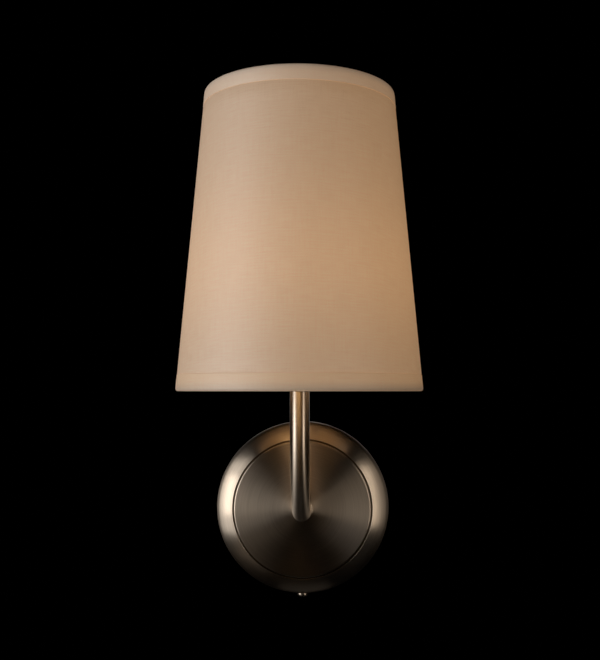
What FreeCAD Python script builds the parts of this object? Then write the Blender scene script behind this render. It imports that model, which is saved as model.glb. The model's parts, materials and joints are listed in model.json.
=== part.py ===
import FreeCAD, Part
import math
import os
import Sketcher
from FreeCAD import Rotation, Vector

# A wall light: a round backplate on a mounting strap, a bent tube arm, a screw lamp holder
# and a tapered fabric shade.  The wall is the plane y = 0, the front faces -Y, +Z is up, and
# the origin is the middle of the backplate on the wall.

# Every size that can be set by itself, in millimetres (one angle, in degrees).
SIZES = {
    # arm
    "arm_reach": 92.0,          # wall to the upright axis of holder and shade
    "arm_rise": 86.0,           # plate middle to the arm's upper end
    "arm_past_nipple": 0.8,     # straight tube between the nipple's end and the bend
    "tube_diameter": 12.0,
    "tube_wall": 1.0,
    "collar_wall": 1.0,
    "collar_length": 3.5,
    "collar_edge": 0.6,
    # backplate
    "plate_diameter": 120.0,
    "plate_sheet": 1.2,
    "plate_side": 6.8,          # straight part of the side, from the wall
    "corner_bend": 7.5,         # rounding from the side into the dome
    "dome_bend": 28.4,          # flatter curve of the rim
    "corner_angle": 42.0,       # slope where the two curves meet
    "rim_width": 11.8,          # plate edge to groove
    "groove_width": 1.0,
    "groove_depth": 0.5,
    "disc_step": 1.2,           # raised disc above the rim's inner edge
    "disc_edge": 1.0,           # rounding of the raised disc
    "nipple_hole_gap": 0.2,
    # mounting strap and its screws
    "strap_width": 16.0,
    "strap_sheet": 2.0,
    "strap_bend": 1.0,          # inside bend of the strap
    "strap_gap": 1.0,           # strap end to the inside of the plate
    "strap_tab": 8.0,
    "slot_spacing": 79.4,
    "slot_length": 15.0,
    "slot_width": 4.5,
    "cable_hole": 11.0,
    "screw_shank": 4.0,
    "screw_head": 8.0,
    "screw_head_rise": 3.0,
    "screw_length": 8.0,
    "screw_depth": 5.0,         # canopy screw's axis, from the wall
    "screw_hole_gap": 0.2,
    "drive_slot_width": 1.0,
    "drive_slot_depth": 1.2,
    "earth_level": 19.0,
    "earth_washer_diameter": 9.0,
    "earth_washer_sheet": 1.0,
    "thread_gap": 0.05,         # all round a thread in its hole
    # terminal block
    "block_level": 11.0,        # its top edge, below the plate's middle
    "block_tall": 13.0,
    "block_wide": 14.0,
    "block_deep": 10.0,
    "block_entry": 4.0,         # wire entries, in front of the strap
    "lug_tall": 6.0,
    "lug_wide": 9.0,
    "lug_deep": 3.0,
    "sleeve_diameter": 4.0,
    "sleeve_bore": 2.6,
    "sleeve_end_gap": 1.0,
    "clamp_screw": 2.5,
    "clamp_screw_sink": 0.6,
    "block_screw_shank": 3.0,
    "block_screw_head": 5.5,
    "block_screw_rise": 2.0,
    # nipple, nut, bush and wires
    "nipple_diameter": 9.9,
    "nipple_bore": 8.4,
    "nipple_grip": 12.0,        # length inside the arm
    "nut_across": 14.0,
    "nut_thick": 4.0,
    "lock_washer_diameter": 18.0,
    "lock_washer_sheet": 1.2,
    "nipple_over": 0.8,         # nipple past its nut
    "bush_wall": 0.4,
    "bush_flange": 1.0,
    "bush_length": 5.0,
    "wire_diameter": 2.2,
    "wire_offset": 2.5,         # each wire, from the middle plane
    "wire_in_block": 3.5,
    # lamp holder
    "holder_washer_diameter": 20.0,
    "holder_washer_sheet": 1.5,
    "holder_nipple_grip": 9.0,
    "holder_diameter": 28.0,    # outside of the base and thread of the sleeve
    "base_wall": 2.0,
    "base_tall": 22.0,
    "base_floor": 8.0,
    "base_round": 4.0,
    "lock_screw_diameter": 3.0,
    "lock_screw_length": 5.0,
    "flange_diameter": 34.0,
    "flange_thick": 2.5,
    "spigot_length": 6.0,
    "spigot_wall": 1.0,
    "sleeve_rise": 26.0,        # flange to the sleeve's rim
    "sleeve_neck": 8.0,
    "neck_bore": 19.2,
    "socket_depth": 19.0,
    "socket_wall_gap": 0.1,     # lamp cap in its socket
    "lead_hole": 2.6,
    "lead_hole_depth": 10.0,
    "terminal_level": 6.0,
    "contact_sheet": 0.5,
    "contact_wide": 4.0,
    "contact_foot": 9.0,        # lower end of both contact strips, above the base floor
    "contact_gap": 0.3,         # lamp to contact strips
    # shade
    "seat_gap": 0.3,            # between pieces that turn on each other
    "bore_gap": 0.1,            # shade and ring nut round the holder's thread
    "shade_bottom": 150.0,
    "shade_top": 115.0,
    "shade_height": 180.0,
    "shade_wall": 0.9,
    "fitter_drop": 31.0,        # shade's lower edge to its seat on the holder
    "fitter_diameter": 40.0,
    "fitter_sheet": 1.5,
    "spoke_diameter": 2.5,
    "spoke_run": 8.0,           # level part of a spoke
    "spoke_bend": 10.0,
    "ring_wire": 3.0,
    "ring_fit": 0.05,           # wire ring against cover and trim
    "trim_sheet": 0.35,
    "glue_gap": 0.06,           # glue between the cover and what is stuck on it
    "bottom_trim_tall": 10.0,
    "top_trim_tall": 9.0,
    "trim_turn_in": 1.8,        # trim's inner edge, past the fold
    "trim_round": 1.2,
    "seam_angle": 7.0,
    "ring_nut_diameter": 37.0,
    "ring_nut_tall": 7.0,
    "ring_nut_edge": 1.0,
    "ring_nut_notch": 3.0,
    # lamp
    "lamp_cap": 13.9,
    "lamp_cap_sheet": 0.35,
    "lamp_skirt": 17.0,
    "lamp_skirt_level": 23.5,   # full width of the skirt, above the contact
    "lamp_cap_top": 25.5,
    "lamp_cap_straight": 19.0,
    "insulator_tall": 3.5,
    "contact_button": 4.8,
    "contact_button_tall": 1.0,
    "globe_diameter": 45.0,
    "lamp_length": 78.0,
    "glass_wall": 0.9,
    "glass_neck_level": 27.0,
    "stem_diameter": 5.2,
    "stem_top": 37.0,
    "flare_thick": 1.0,
    "filament_wire": 0.5,
    "filament_level": 51.0,
    "filament_span": 18.0,
    "filament_foot": 3.0,
}


class Size:
    """A size known both as a number and as a formula of the sheet's cells."""

    def __init__(self, number, formula):
        self.number = number
        self.formula = formula

    def __add__(self, other):
        other = as_size(other)
        return Size(self.number + other.number, f"({self.formula} + {other.formula})")

    def __sub__(self, other):
        other = as_size(other)
        return Size(self.number - other.number, f"({self.formula} - {other.formula})")

    def __mul__(self, other):
        other = as_size(other)
        return Size(self.number * other.number, f"({self.formula} * {other.formula})")

    def __truediv__(self, other):
        other = as_size(other)
        return Size(self.number / other.number, f"({self.formula} / {other.formula})")

    def __neg__(self):
        return Size(-self.number, f"(0 - {self.formula})")


def as_size(value):
    if isinstance(value, Size):
        return value
    return Size(float(value), f"({value})")


def root(size):
    return Size(math.sqrt(size.number), f"sqrt({size.formula})")


def sine(angle):
    return Size(math.sin(math.radians(angle.number)), f"sin({angle.formula})")


def cosine(angle):
    return Size(math.cos(math.radians(angle.number)), f"cos({angle.formula})")


doc = FreeCAD.newDocument("WallLight")
sheet = doc.addObject("Spreadsheet::Sheet", "sizes")
for row, (name, number) in enumerate(SIZES.items(), start=1):
    sheet.set(f"A{row}", name)
    sheet.set(f"B{row}", str(number))
    sheet.setAlias(f"B{row}", name)
doc.recompute()


class Named:
    """Every named size as an attribute."""


s = Named()
for name, number in SIZES.items():
    setattr(s, name, Size(number, f"sizes.{name}"))

ZERO = as_size(0)
HALF_TURN = "half turn"
SPOKES = 3
NOTCHES = 12                    # finger notches round the shade's ring nut
FACING_FRONT = Rotation(Vector(1, 0, 0), 90)      # own Z axis points to -Y
TO_THE_WALL = Rotation(Vector(0, 0, 1), 90)       # own X axis points to +Y
parts = []


# ---- ways of making a piece ------------------------------------------------------------

def bind(feature, path, value):
    """Tie one property of a feature to a formula of the sheet."""
    feature.setExpression(path, as_size(value).formula)


def new_body(label, at=(0, 0, 0), turn=None, keep=True):
    """An empty body with its own label and place."""
    body = doc.addObject("PartDesign::Body", label)
    body.Label = label
    body.AllowCompound = True
    if turn is not None:
        body.Placement.Rotation = turn
    for letter, value in zip("xyz", at):
        bind(body, f"Placement.Base.{letter}", value)
    if keep:
        parts.append(body)
    return body


def new_sketch(body, plane, lift=ZERO):
    """An empty sketch on one of the body's own planes, lifted along its normal."""
    sketch = body.newObject("Sketcher::SketchObject", f"{body.Label}_outline")
    origin_plane = [item for item in body.Origin.OriginFeatures if item.Role == plane][0]
    sketch.AttachmentSupport = [(origin_plane, "")]
    sketch.MapMode = "FlatFace"
    bind(sketch, "AttachmentOffset.Base.z", lift)
    return sketch


def limit(sketch, kind, *where, value):
    """One sketch dimension, tied to a formula."""
    value = as_size(value)
    index = sketch.addConstraint(Sketcher.Constraint(kind, *where, value.number))
    sketch.setExpression(f"Constraints[{index}]", value.formula)


def arc_through(start, end, radius, left):
    """The short arc from start to end; left tells that its centre lies to the left."""
    middle = (start + end) / 2
    chord = end - start
    rise = math.sqrt(max(radius ** 2 - (chord.Length / 2) ** 2, 0))
    aside = Vector(-chord.y, chord.x, 0).normalize()
    centre = middle + aside * (rise if left else -rise)
    first, last = (start, end) if left else (end, start)
    angles = [math.atan2(point.y - centre.y, point.x - centre.x) for point in (first, last)]
    return Part.ArcOfCircle(Part.Circle(centre, Vector(0, 0, 1), radius), *angles)


def draw(sketch, corners, closed=True):
    """Draw an outline.  A corner is (u, v), or (u, v, radius, side) when the run that starts
    there is an arc whose centre lies on that side, or (u, v, HALF_TURN) when it is half a
    circle to the next corner, at the same v, with its centre to the left."""
    points = [Vector(as_size(c[0]).number, as_size(c[1]).number, 0) for c in corners]
    runs = []
    count = len(corners) if closed else len(corners) - 1
    for index in range(count):
        corner = corners[index]
        start = points[index]
        end = points[(index + 1) % len(points)]
        if len(corner) == 3:
            curve = arc_through(start, end, (end - start).Length / 2, True)
            ends = (1, 2)
        elif len(corner) == 4:
            left = corner[3] == "left"
            curve = arc_through(start, end, as_size(corner[2]).number, left)
            ends = (1, 2) if left else (2, 1)
        else:
            curve = Part.LineSegment(start, end)
            ends = (1, 2)
        runs.append((sketch.addGeometry(curve), ends))
    for index, (geometry, ends) in enumerate(runs):
        corner = corners[index]
        limit(sketch, "DistanceX", -1, 1, geometry, ends[0], value=corner[0])
        limit(sketch, "DistanceY", -1, 1, geometry, ends[0], value=corner[1])
        if len(corner) == 3:
            limit(sketch, "DistanceY", -1, 1, geometry, 3, value=corner[1])
        if len(corner) == 4:
            limit(sketch, "Radius", geometry, value=corner[2])
        following = (index + 1) % len(runs)
        if closed or index + 1 < len(runs):
            joint = (geometry, ends[1], runs[following][0], runs[following][1][0])
            sketch.addConstraint(Sketcher.Constraint("Coincident", *joint))
    if not closed:
        geometry, ends = runs[-1]
        limit(sketch, "DistanceX", -1, 1, geometry, ends[1], value=corners[-1][0])
        limit(sketch, "DistanceY", -1, 1, geometry, ends[1], value=corners[-1][1])


def circle(sketch, u, v, diameter):
    """One full circle in a sketch."""
    u, v, diameter = as_size(u), as_size(v), as_size(diameter)
    ring = Part.Circle(Vector(u.number, v.number, 0), Vector(0, 0, 1), diameter.number / 2)
    geometry = sketch.addGeometry(ring)
    limit(sketch, "DistanceX", -1, 1, geometry, 3, value=u)
    limit(sketch, "DistanceY", -1, 1, geometry, 3, value=v)
    limit(sketch, "Diameter", geometry, value=diameter)


def box_corners(low_u, low_v, high_u, high_v):
    return [(low_u, low_v), (high_u, low_v), (high_u, high_v), (low_u, high_v)]


def revolve(body, sketch, axis, kind="Revolution", angle=360):
    """Turn a sketch about its own upright (V_Axis) or level (H_Axis) axis."""
    feature = body.newObject(f"PartDesign::{kind}", f"{body.Label}_turn")
    feature.Profile = sketch
    feature.ReferenceAxis = (sketch, [axis])
    bind(feature, "Angle", angle)
    return feature


def turned(label, corners, at=(0, 0, 0), turn=None):
    """A piece of revolution about its own Z axis; corners are (radius, level)."""
    body = new_body(label, at, turn)
    sketch = new_sketch(body, "XZ_Plane")
    draw(sketch, corners)
    revolve(body, sketch, "V_Axis")
    return body


def turned_on_wall_axis(label, corners):
    """A piece of revolution about the arm's level axis; corners are (y, radius)."""
    body = new_body(label)
    sketch = new_sketch(body, "YZ_Plane")
    draw(sketch, corners)
    revolve(body, sketch, "H_Axis")
    return body


def pad(body, sketch, length, midplane=False, reverse=False):
    feature = body.newObject("PartDesign::Pad", f"{body.Label}_pad")
    feature.Profile = sketch
    feature.Midplane = midplane
    feature.Reversed = reverse
    bind(feature, "Length", length)
    return feature


def pocket(body, sketch, length=None, midplane=False, reverse=False):
    """Cut a sketch out of the body, through everything when it has no length."""
    feature = body.newObject("PartDesign::Pocket", f"{body.Label}_cut")
    feature.Profile = sketch
    feature.Midplane = midplane
    feature.Reversed = reverse
    if length is None:
        feature.Type = "ThroughAll"
    else:
        bind(feature, "Length", length)
    return feature


def round_edges(body, radius, wanted):
    """Round the edges of the body's last feature that the test picks."""
    doc.recompute()
    base = body.Tip
    names = [f"Edge{n}" for n, edge in enumerate(base.Shape.Edges, start=1) if wanted(edge)]
    feature = body.newObject("PartDesign::Fillet", f"{body.Label}_round")
    feature.Base = (base, names)
    bind(feature, "Radius", radius)
    return feature


def is_ring(edge, radius, level):
    """Whether an edge is a circle of this radius at this level above the body's origin."""
    curve = edge.Curve
    if not isinstance(curve, Part.Circle):
        return False
    near = abs(curve.Radius - radius.number) < 1e-4
    return near and abs(curve.Center.z - level.number) < 1e-4


def pattern(body, feature, copies):
    """Repeat a feature round the body's Z axis."""
    doc.recompute()
    repeat = body.newObject("PartDesign::PolarPattern", f"{body.Label}_pattern")
    repeat.Originals = [feature]
    axis = [item for item in body.Origin.OriginFeatures if item.Role == "Z_Axis"][0]
    repeat.Axis = (axis, [""])
    repeat.Angle = 360
    repeat.Occurrences = copies
    body.Tip = repeat
    return repeat


def mirrored(body, feature, plane):
    """Repeat a feature on the other side of one of the body's own planes."""
    doc.recompute()
    repeat = body.newObject("PartDesign::Mirrored", f"{body.Label}_mirror")
    repeat.Originals = [feature]
    origin_plane = [item for item in body.Origin.OriginFeatures if item.Role == plane][0]
    repeat.MirrorPlane = (origin_plane, [""])
    body.Tip = repeat
    return repeat


# ---- levels and radii shared by several pieces -------------------------------------------

plate_radius = s.plate_diameter / 2
groove_outer = plate_radius - s.rim_width
groove_inner = groove_outer - s.groove_width

# The rim is two arcs that meet smoothly: the corner bend, then the flatter dome.
corner_radius = plate_radius - s.corner_bend
join_radius = corner_radius + s.corner_bend * sine(s.corner_angle)
join_depth = s.plate_side + s.corner_bend * cosine(s.corner_angle)
dome_radius = join_radius - s.dome_bend * sine(s.corner_angle)
dome_depth = join_depth - s.dome_bend * cosine(s.corner_angle)


def dome_at(radius, bend):
    """Depth of the dome, or of its inside, at this radius."""
    aside = radius - dome_radius
    return dome_depth + root(bend * bend - aside * aside)


rim_depth = dome_at(groove_outer, s.dome_bend)
plate_face = rim_depth + s.disc_step
plate_back = plate_face - s.plate_sheet

nut_back = plate_back - s.lock_washer_sheet - s.nut_thick
nipple_back = nut_back - s.nipple_over
nipple_front = plate_face + s.nipple_grip

# The bend takes all the reach that the straight start of the arm leaves it.
bend_depth = nipple_front + s.arm_past_nipple
arm_bend = s.arm_reach - bend_depth

tube_bore = s.tube_diameter - s.tube_wall * 2
strap_reach = plate_radius - s.plate_sheet - s.strap_gap

lug_middle = s.block_level + s.block_tall + s.lug_tall / 2
wire_level = s.strap_sheet + s.block_entry
wire_turn = nipple_back - wire_level

holder_axis = (ZERO, -s.arm_reach, ZERO)
base_foot = s.arm_rise + s.holder_washer_sheet
base_floor = base_foot + s.base_floor
base_rim = base_foot + s.base_tall
flange_top = base_rim + s.flange_thick
sleeve_rim = flange_top + s.sleeve_rise
insert_rim = sleeve_rim - s.sleeve_neck
socket_floor = insert_rim - s.socket_depth
base_bore = s.holder_diameter / 2 - s.base_wall
spigot_radius = base_bore - s.thread_gap
sleeve_bore = spigot_radius - s.spigot_wall
insert_radius = sleeve_bore - s.thread_gap
terminal_level = base_floor + s.terminal_level
lead_hole_top = base_floor + s.lead_hole_depth
contact_foot = base_floor + s.contact_foot

contact_top = socket_floor + s.contact_sheet + s.contact_gap
lamp_foot = contact_top + s.contact_gap
side_contact_inner = s.lamp_cap / 2 + s.contact_gap
side_contact_outer = side_contact_inner + s.contact_sheet
side_contact_top = socket_floor + s.contact_foot

turning_bore = s.holder_diameter / 2 + s.bore_gap
fitter_foot = flange_top + s.seat_gap
fitter_top = fitter_foot + s.fitter_sheet
fitter_radius = s.fitter_diameter / 2
ring_nut_foot = fitter_top + s.seat_gap

shade_foot = fitter_foot - s.fitter_drop
shade_rim = shade_foot + s.shade_height
taper = (s.shade_bottom - s.shade_top) / 2 / s.shade_height
wire_radius = s.ring_wire / 2
slant = root(taper * taper + 1)


def cone(level):
    """Outside radius of the shade, trims included, at this level."""
    return s.shade_bottom / 2 - (level - shade_foot) * taper


def wire_ring_radius(level):
    """Radius of a wire ring that lies inside the cover at this level."""
    return cone(level) - cover_depth - s.shade_wall - (wire_radius + s.ring_fit) * slant


cover_round = s.shade_wall * 0.75      # a rounding that the cover's wall has room for
cover_depth = s.trim_sheet + s.glue_gap    # outside of the trims to outside of the cover
low_ring_level = shade_foot + s.trim_sheet + s.ring_fit + wire_radius
high_ring_level = shade_rim - s.trim_sheet - s.ring_fit - wire_radius


# ---- backplate ---------------------------------------------------------------------------

def make_backplate():
    """A pressed sheet disc: straight side, domed rim, groove, raised disc, hole in the middle."""
    inner_corner = s.corner_bend - s.plate_sheet
    inner_dome = s.dome_bend - s.plate_sheet
    inner_join_radius = corner_radius + inner_corner * sine(s.corner_angle)
    inner_join_depth = s.plate_side + inner_corner * cosine(s.corner_angle)
    inner_side = plate_radius - s.plate_sheet
    step_radius = groove_inner - s.plate_sheet
    hole_radius = s.nipple_diameter / 2 + s.nipple_hole_gap
    groove_floor = rim_depth - s.groove_depth
    body = new_body("backplate")
    sketch = new_sketch(body, "YZ_Plane")
    draw(sketch, [
        (ZERO, plate_radius),
        (-s.plate_side, plate_radius, s.corner_bend, "left"),
        (-join_depth, join_radius, s.dome_bend, "left"),
        (-rim_depth, groove_outer),
        (-groove_floor, groove_outer),
        (-groove_floor, groove_inner),
        (s.disc_edge - plate_face, groove_inner, s.disc_edge, "left"),
        (-plate_face, groove_inner - s.disc_edge),
        (-plate_face, hole_radius),
        (-plate_back, hole_radius),
        (-plate_back, step_radius),
        (-dome_at(step_radius, inner_dome), step_radius, inner_dome, "right"),
        (-inner_join_depth, inner_join_radius, inner_corner, "right"),
        (-s.plate_side, inner_side),
        (ZERO, inner_side),
    ])
    revolve(body, sketch, "H_Axis")
    hole = new_sketch(body, "XY_Plane")
    circle(hole, 0, -s.screw_depth, s.screw_shank + s.screw_hole_gap * 2)
    pocket(body, hole, s.plate_diameter + s.screw_head, midplane=True)


def make_canopy_screws():
    """Two pan-head screws, one above and one below, that hold the plate on its strap."""
    tip = plate_radius - s.screw_length
    head_top = plate_radius + s.screw_head_rise
    half_head = s.screw_head / 2
    half_shank = s.screw_shank / 2
    crown = half_head / 2
    body = new_body("canopy_screws", at=(ZERO, -s.screw_depth, ZERO))
    sketch = new_sketch(body, "XZ_Plane")
    draw(sketch, [
        (ZERO, -head_top),
        (crown, -head_top, half_head - crown, "left"),
        (half_head, half_head - crown - head_top),
        (half_head, -plate_radius),
        (half_shank, -plate_radius),
        (half_shank, -tip),
        (ZERO, -tip),
    ])
    screw = revolve(body, sketch, "V_Axis")
    mirrored(body, screw, "XY_Plane")
    slot = new_sketch(body, "XZ_Plane")
    half_slot = s.drive_slot_width / 2
    floor = head_top - s.drive_slot_depth
    draw(slot, box_corners(-half_slot, -head_top, half_slot, -floor))
    draw(slot, box_corners(-half_slot, floor, half_slot, head_top))
    pocket(body, slot, s.screw_head, midplane=True)


# ---- strap and what is fixed to it -------------------------------------------------------

def make_mounting_strap():
    """A strip with both ends bent forward, slotted for the wall box, with tapped holes."""
    body = new_body("mounting_strap")
    side = new_sketch(body, "YZ_Plane")
    inner = strap_reach - s.strap_sheet
    outer_bend = s.strap_bend + s.strap_sheet
    draw(side, [
        (-s.strap_tab, -strap_reach),
        (-outer_bend, -strap_reach, outer_bend, "left"),
        (ZERO, outer_bend - strap_reach),
        (ZERO, strap_reach - outer_bend, outer_bend, "left"),
        (-outer_bend, strap_reach),
        (-s.strap_tab, strap_reach),
        (-s.strap_tab, inner),
        (-outer_bend, inner, s.strap_bend, "right"),
        (-s.strap_sheet, inner - s.strap_bend),
        (-s.strap_sheet, s.strap_bend - inner, s.strap_bend, "right"),
        (-outer_bend, -inner),
        (-s.strap_tab, -inner),
    ])
    pad(body, side, s.strap_width, midplane=True)
    face = new_sketch(body, "XZ_Plane")
    half_width = s.slot_width / 2
    half_run = (s.slot_length - s.slot_width) / 2
    for middle in (s.slot_spacing / 2, -s.slot_spacing / 2):
        draw(face, [
            (half_width, middle - half_run),
            (half_width, middle + half_run, HALF_TURN),
            (-half_width, middle + half_run),
            (-half_width, middle - half_run, HALF_TURN),
        ])
    circle(face, 0, 0, s.cable_hole)
    circle(face, 0, s.earth_level, s.screw_shank + s.thread_gap * 2)
    circle(face, 0, -lug_middle, s.block_screw_shank + s.thread_gap * 2)
    pocket(body, face, s.strap_sheet * 2, midplane=True)
    taps = new_sketch(body, "XY_Plane")
    circle(taps, 0, -s.screw_depth, s.screw_shank + s.thread_gap * 2)
    pocket(body, taps, s.plate_diameter, midplane=True)


def make_pan_screw(label, at, shank, head, rise, length):
    """A slotted pan-head screw; its origin is under the head, its own Z points to the head."""
    corner = rise / 2
    body = new_body(label, at=at, turn=FACING_FRONT)
    sketch = new_sketch(body, "XZ_Plane")
    draw(sketch, [
        (ZERO, -length),
        (shank / 2, -length),
        (shank / 2, ZERO),
        (head / 2, ZERO),
        (head / 2, rise - corner, corner, "left"),
        (head / 2 - corner, rise),
        (ZERO, rise),
    ])
    revolve(body, sketch, "V_Axis")
    slot = new_sketch(body, "XZ_Plane")
    half_slot = s.drive_slot_width / 2
    draw(slot, box_corners(-half_slot, rise / 2, half_slot, rise))
    pocket(body, slot, head, midplane=True)


def make_earth_terminal():
    """A screw with a clamping washer, for the house's earth wire."""
    washer_front = s.strap_sheet + s.earth_washer_sheet
    bore = s.screw_shank / 2 + s.thread_gap
    turned("earth_washer", [
        (bore, ZERO),
        (s.earth_washer_diameter / 2, ZERO),
        (s.earth_washer_diameter / 2, s.earth_washer_sheet),
        (bore, s.earth_washer_sheet),
    ], at=(ZERO, -s.strap_sheet, s.earth_level), turn=FACING_FRONT)
    make_pan_screw("earth_screw", (ZERO, -washer_front, s.earth_level),
                   s.screw_shank, s.screw_head, s.screw_head_rise,
                   washer_front - s.thread_gap * 2)


def make_terminal_block():
    """A two-way block with a lug, its brass sleeves, clamp screws and fixing screw."""
    top = -s.block_level
    foot = top - s.block_tall
    front = s.strap_sheet + s.block_deep
    half_wide = s.block_wide / 2
    half_lug = s.lug_wide / 2
    clamp_bore = s.clamp_screw + s.thread_gap * 2
    clamp_levels = [top - s.block_tall / 4, foot + s.block_tall / 4]
    body = new_body("terminal_block")
    face = new_sketch(body, "XZ_Plane", lift=s.strap_sheet)
    draw(face, box_corners(-half_wide, foot, half_wide, top))
    pad(body, face, s.block_deep)
    lug = new_sketch(body, "XZ_Plane", lift=s.strap_sheet)
    draw(lug, box_corners(-half_lug, foot - s.lug_tall, half_lug, foot))
    pad(body, lug, s.lug_deep)
    fixing = new_sketch(body, "XZ_Plane")
    circle(fixing, 0, -lug_middle, s.block_screw_shank + s.thread_gap * 2)
    pocket(body, fixing, s.plate_diameter, midplane=True)
    entries = new_sketch(body, "XY_Plane")
    for side in (-1, 1):
        circle(entries, s.wire_offset * side, -wire_level, s.sleeve_diameter)
    pocket(body, entries, s.plate_diameter, midplane=True)
    clamps = new_sketch(body, "XZ_Plane", lift=wire_level)
    for side in (-1, 1):
        for level in clamp_levels:
            circle(clamps, s.wire_offset * side, level, clamp_bore)
    pocket(body, clamps, s.block_deep, reverse=True)

    sleeves = new_body("terminal_sleeves")
    ends = new_sketch(sleeves, "XY_Plane", lift=foot + s.sleeve_end_gap)
    for side in (-1, 1):
        circle(ends, s.wire_offset * side, -wire_level, s.sleeve_diameter)
        circle(ends, s.wire_offset * side, -wire_level, s.sleeve_bore)
    pad(sleeves, ends, s.block_tall - s.sleeve_end_gap * 2)
    taps = new_sketch(sleeves, "XZ_Plane", lift=wire_level)
    for side in (-1, 1):
        for level in clamp_levels:
            circle(taps, s.wire_offset * side, level, clamp_bore)
    pocket(sleeves, taps, s.block_deep, reverse=True)

    screws = new_body("terminal_screws")
    tip = wire_level + s.wire_diameter / 2 + s.thread_gap
    tips = new_sketch(screws, "XZ_Plane", lift=tip)
    for side in (-1, 1):
        for level in clamp_levels:
            circle(tips, s.wire_offset * side, level, s.clamp_screw)
    pad(screws, tips, front - s.clamp_screw_sink - tip)

    make_pan_screw("block_screw", (ZERO, -(s.strap_sheet + s.lug_deep), -lug_middle),
                   s.block_screw_shank, s.block_screw_head, s.block_screw_rise,
                   s.strap_sheet + s.lug_deep - s.thread_gap * 2)


# ---- arm ---------------------------------------------------------------------------------

def pipe(body, path, section):
    """Sweep a section along a path, square to it."""
    feature = body.newObject("PartDesign::AdditivePipe", f"{body.Label}_pipe")
    feature.Profile = section
    feature.Spine = (path, [])
    feature.Mode = "Frenet"
    return feature


def make_arm():
    """The tube, its collar on the plate, and the nipple, washer, nut and bush behind it."""
    body = new_body("arm_tube")
    path = new_sketch(body, "YZ_Plane")
    draw(path, [
        (-plate_face, ZERO),
        (-bend_depth, ZERO, arm_bend, "right"),
        (-s.arm_reach, arm_bend),
        (-s.arm_reach, s.arm_rise),
    ], closed=False)
    section = new_sketch(body, "XZ_Plane", lift=plate_face)
    circle(section, 0, 0, s.tube_diameter)
    circle(section, 0, 0, tube_bore)
    pipe(body, path, section)

    bore = s.tube_diameter / 2 + s.thread_gap
    rim = s.tube_diameter / 2 + s.collar_wall
    front = plate_face + s.collar_length
    turned_on_wall_axis("arm_collar", [
        (-plate_face, bore),
        (-front, bore),
        (-front, rim - s.collar_edge, s.collar_edge, "right"),
        (s.collar_edge - front, rim),
        (-plate_face, rim),
    ])

    turned_on_wall_axis("arm_nipple", [
        (-nipple_back, s.nipple_bore / 2),
        (-nipple_front, s.nipple_bore / 2),
        (-nipple_front, s.nipple_diameter / 2),
        (-nipple_back, s.nipple_diameter / 2),
    ])
    washer_bore = s.nipple_diameter / 2 + s.nipple_hole_gap
    washer_back = plate_back - s.lock_washer_sheet
    turned_on_wall_axis("arm_lock_washer", [
        (-washer_back, washer_bore),
        (-plate_back, washer_bore),
        (-plate_back, s.lock_washer_diameter / 2),
        (-washer_back, s.lock_washer_diameter / 2),
    ])
    nut = new_body("arm_nut")
    across = new_sketch(nut, "XZ_Plane", lift=nut_back)
    corner = s.nut_across / root(as_size(3))
    flat = s.nut_across / 2
    draw(across, [
        (corner, ZERO),
        (corner / 2, flat),
        (-corner / 2, flat),
        (-corner, ZERO),
        (-corner / 2, -flat),
        (corner / 2, -flat),
    ])
    circle(across, 0, 0, s.nipple_diameter + s.thread_gap * 2)
    pad(nut, across, s.nut_thick)

    bush_radius = s.nipple_bore / 2 - s.thread_gap
    bush_bore = bush_radius - s.bush_wall
    turned_on_wall_axis("nipple_bush", [
        (s.bush_flange - nipple_back, bush_bore),
        (-nipple_back - s.bush_length, bush_bore),
        (-nipple_back - s.bush_length, bush_radius),
        (-nipple_back, bush_radius),
        (-nipple_back, s.nipple_diameter / 2),
        (s.bush_flange - nipple_back, s.nipple_diameter / 2),
    ])


def make_lead(label, side):
    """One insulated wire, from the terminal block through the arm to the holder."""
    body = new_body(label, at=(s.wire_offset * side, ZERO, ZERO))
    path = new_sketch(body, "YZ_Plane")
    start = -s.block_level - s.wire_in_block
    draw(path, [
        (-wire_level, start),
        (-wire_level, -wire_turn, wire_turn, "left"),
        (-nipple_back, ZERO),
        (-bend_depth, ZERO, arm_bend, "right"),
        (-s.arm_reach, arm_bend),
        (-s.arm_reach, contact_foot - s.contact_gap),
    ], closed=False)
    section = new_sketch(body, "XY_Plane", lift=start)
    circle(section, 0, -wire_level, s.wire_diameter)
    pipe(body, path, section)


# ---- lamp holder, about its own upright axis ---------------------------------------------

def make_holder_foot():
    """Washer, nipple, base and its locking screw, on the arm's upper end."""
    nipple_radius = s.nipple_diameter / 2
    thread_bore = nipple_radius + s.thread_gap
    washer_bore = nipple_radius + s.nipple_hole_gap
    turned("holder_washer", box_corners(washer_bore, s.arm_rise,
                                        s.holder_washer_diameter / 2, base_foot), at=holder_axis)
    turned("holder_nipple", box_corners(s.nipple_bore / 2, s.arm_rise - s.holder_nipple_grip,
                                        nipple_radius, base_floor), at=holder_axis)
    outer = s.holder_diameter / 2
    base = turned("holder_base", [
        (thread_bore, base_foot),
        (outer - s.base_round, base_foot, s.base_round, "left"),
        (outer, base_foot + s.base_round),
        (outer, base_rim),
        (base_bore, base_rim),
        (base_bore, base_floor),
        (thread_bore, base_floor),
    ], at=holder_axis)
    screw_level = base_foot + s.base_floor / 2
    tap = new_sketch(base, "XZ_Plane")
    circle(tap, 0, screw_level, s.lock_screw_diameter + s.thread_gap * 2)
    pocket(base, tap, s.holder_diameter)
    screw = new_body("holder_lock_screw", at=holder_axis)
    tip = new_sketch(screw, "XZ_Plane", lift=-(nipple_radius + s.lock_screw_length))
    circle(tip, 0, screw_level, s.lock_screw_diameter)
    pad(screw, tip, s.lock_screw_length)


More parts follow.
